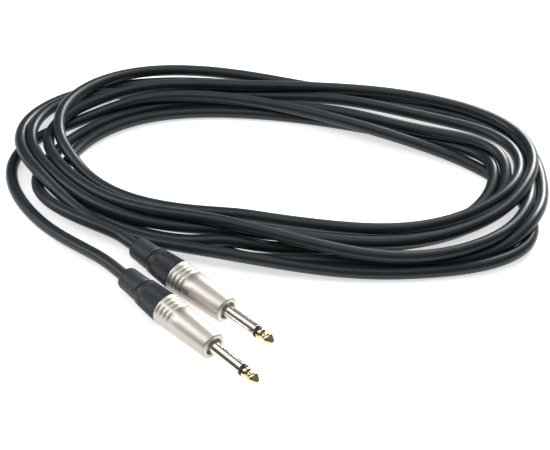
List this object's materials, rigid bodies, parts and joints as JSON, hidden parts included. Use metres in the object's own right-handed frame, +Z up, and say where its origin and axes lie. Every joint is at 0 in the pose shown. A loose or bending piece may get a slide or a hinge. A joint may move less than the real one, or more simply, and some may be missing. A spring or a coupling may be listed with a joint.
{
  "type": "instrument cable",
  "caption": "Musical instrument cable: a coiled black round lead with a straight metal jack plug on each end, each with a screw-off ribbed collar and rubber boot.",
  "frame": {"origin": "centre of the footprint of the two plugs, on the surface that they lie on", "axes": "+Z up from the surface; +X to the right and +Y away along the surface as the cable is laid out, the plugs' fingers pointing to +X and -Y"},
  "size_m": [0.301, 0.262, 0.02],
  "materials": {
    "shell_nickel": "satin nickel plate",
    "finger_nickel": "polished nickel plate",
    "insulator_black": "black moulded plastic",
    "tip_gold": "polished gold plate",
    "lug_tinned": "tinned",
    "nut_brass": "bare brass",
    "washer_plastic": "fibre washer",
    "cup_tinned": "tinned",
    "core_white": "wire insulation",
    "shield_copper": "twisted bare copper",
    "chuck_plastic": "moulded plastic",
    "cable_jacket": "satin black flexible jacket",
    "boot_rubber": "satin charcoal",
    "collar_plastic": "ribbed satin black"
  },
  "bodies": {
    "cable": {"shell_a": "shell_nickel", "sleeve_a": "finger_nickel", "insulator_a": "insulator_black", "tip_a": "tip_gold", "ground_lug_a": "lug_tinned", "lock_nut_a": "nut_brass", "rear_insulator_a": "washer_plastic", "solder_cup_a": "cup_tinned", "core_a": "core_white", "shield_tail_a": "shield_copper", "chuck_a": "chuck_plastic", "cable_end_a": "cable_jacket", "shell_b": "shell_nickel", "sleeve_b": "finger_nickel", "insulator_b": "insulator_black", "tip_b": "tip_gold", "ground_lug_b": "lug_tinned", "lock_nut_b": "nut_brass", "rear_insulator_b": "washer_plastic", "solder_cup_b": "cup_tinned", "core_b": "core_white", "shield_tail_b": "shield_copper", "chuck_b": "chuck_plastic", "cable_end_b": "cable_jacket", "cable_coil": "cable_jacket", "cable_lead_a": "cable_jacket", "cable_lead_b": "cable_jacket"},
    "boot_a": {"boot_a": "boot_rubber"},
    "collar_a": {"collar_a": "collar_plastic"},
    "boot_b": {"boot_b": "boot_rubber"},
    "collar_b": {"collar_b": "collar_plastic"}
  },
  "joints": [
    {"name": "collar_a_back_off", "type": "slide", "parent": "cable", "child": "boot_a", "axis": [-0.6884, 0.7254, 0], "range_m": [0, 0.007]},
    {"name": "collar_a_unscrew", "type": "hinge", "parent": "boot_a", "child": "collar_a", "pos_m": [-0.02009, 0.00633, 0.00845], "axis": [-0.6884, 0.7254, 0], "range_deg": [0, 2520]},
    {"name": "collar_b_back_off", "type": "slide", "parent": "cable", "child": "boot_b", "axis": [-0.7206, 0.6934, 0], "range_m": [0, 0.007]},
    {"name": "collar_b_unscrew", "type": "hinge", "parent": "boot_b", "child": "collar_b", "pos_m": [-0.0155, 0.02953, 0.00845], "axis": [-0.7206, 0.6934, 0], "range_deg": [0, 2520]}
  ],
  "couplings": [
    {"joint": "collar_a_unscrew", "follows": "collar_a_back_off", "rad_per_m": 6283},
    {"joint": "collar_b_unscrew", "follows": "collar_b_back_off", "rad_per_m": 6283}
  ]
}
